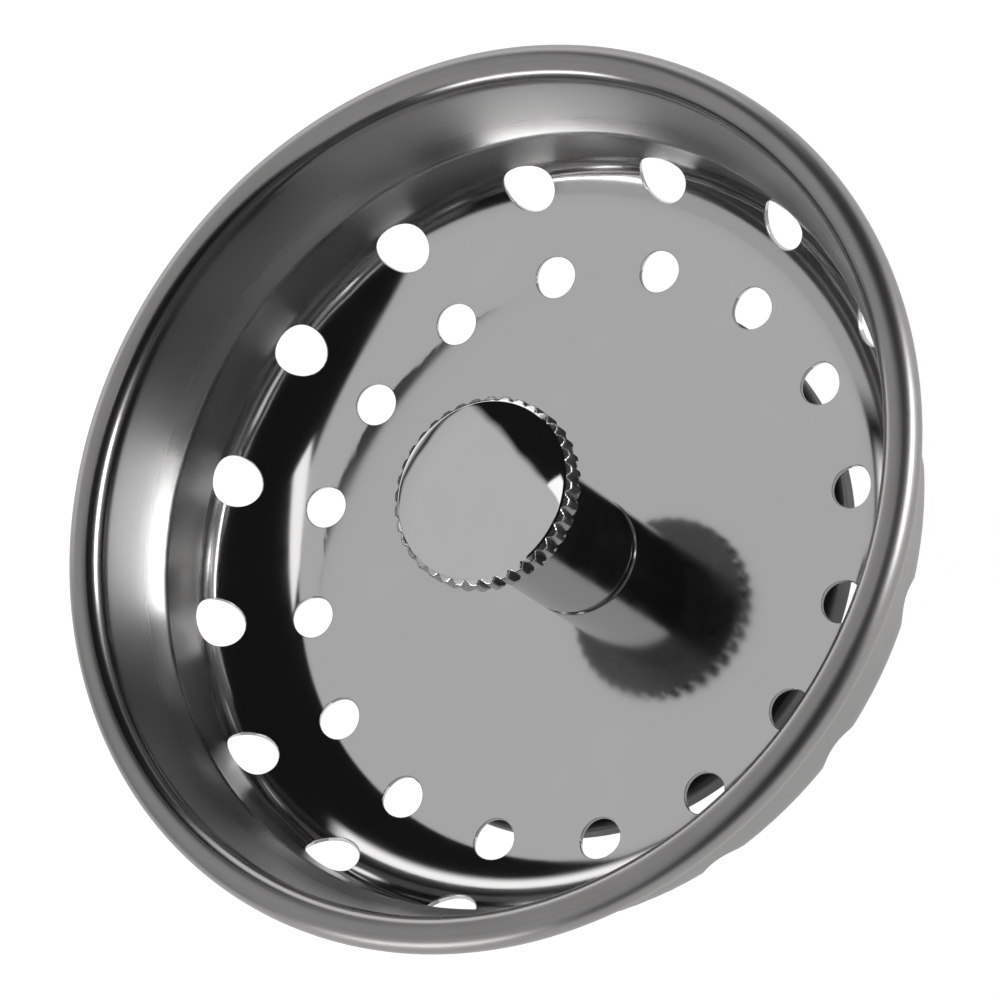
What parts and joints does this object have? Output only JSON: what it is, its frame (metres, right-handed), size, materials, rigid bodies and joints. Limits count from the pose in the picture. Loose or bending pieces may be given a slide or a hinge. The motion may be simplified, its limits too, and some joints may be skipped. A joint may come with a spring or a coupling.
{
  "type": "sink strainer",
  "caption": "Perforated stainless cup with a curled rim for a kitchen sink drain, and a post with a knurled knob that turns a rubber stopper's stem down into the drain.",
  "frame": {"origin": "on the axis, level with the underside of the curled rim, where the cup hangs in the drain's flange", "axes": "+Z is the axis, up out of the cup; +X passes through the middle of one pair of drain holes"},
  "size_m": [0.0832, 0.0832, 0.0493],
  "materials": {
    "cup_steel": "mirror-polished floor and bowl, satin flared wall, rim and outside",
    "chrome": "bright chrome plate",
    "nylon": "natural moulded nylon",
    "rubber": "matte black moulded rubber",
    "zinc_steel": "zinc plate",
    "brass": "machined brass"
  },
  "bodies": {
    "basket": {"strainer_cup": "cup_steel"},
    "spindle": {"knob": "chrome", "post_sleeve": "chrome", "floor_bush": "nylon", "stem": "brass", "thrust_washer": "nylon", "stopper": "rubber", "backing_washer": "zinc_steel", "lock_washer": "zinc_steel", "hex_nut": "brass"}
  },
  "joints": [
    {"name": "knob_turn", "type": "hinge", "parent": "basket", "child": "spindle", "pos_m": [0, 0, -0.0175], "axis": [0, 0, 1], "continuous": true}
  ]
}
